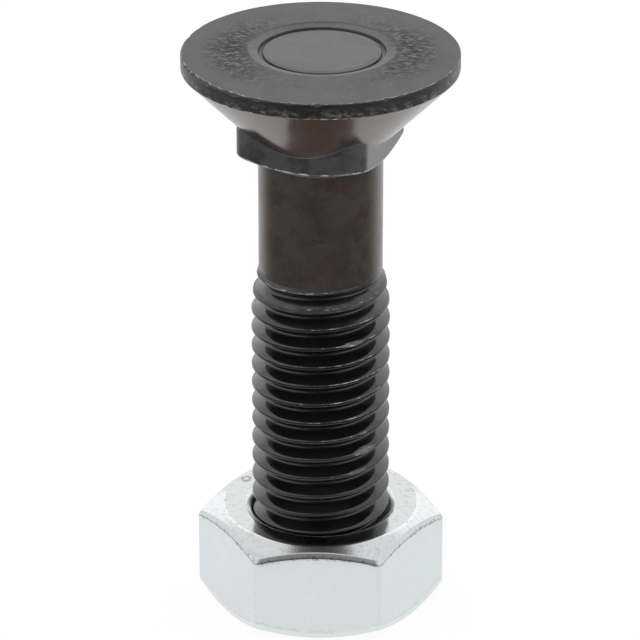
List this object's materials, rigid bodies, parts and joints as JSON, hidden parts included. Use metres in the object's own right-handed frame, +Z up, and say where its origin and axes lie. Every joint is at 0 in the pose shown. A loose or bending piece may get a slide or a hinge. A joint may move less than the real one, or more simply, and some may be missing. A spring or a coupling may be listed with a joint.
{
  "type": "plow bolt",
  "caption": "Black plow bolt with a flat countersunk head, square neck and threaded shank, standing on its zinc-plated hex nut; it fastens blades and plates flush.",
  "frame": {"origin": "centre of the nut's foot and of the bolt's tip, on the bolt's axis, where the bolt stands on a surface", "axes": "+Z up the bolt's axis from the nut to the head; X and Y square to the flats of the neck"},
  "size_m": [0.0234, 0.0234, 0.0507],
  "materials": {
    "black_steel": "satin",
    "zinc_plate": "satin"
  },
  "bodies": {
    "bolt": {"plow_bolt": "black_steel"},
    "nut": {"hex_nut": "zinc_plate"}
  },
  "joints": [
    {"name": "nut_travel", "type": "slide", "parent": "bolt", "child": "nut", "axis": [0, 0, 1], "range_m": [0, 0.0175]}
  ]
}
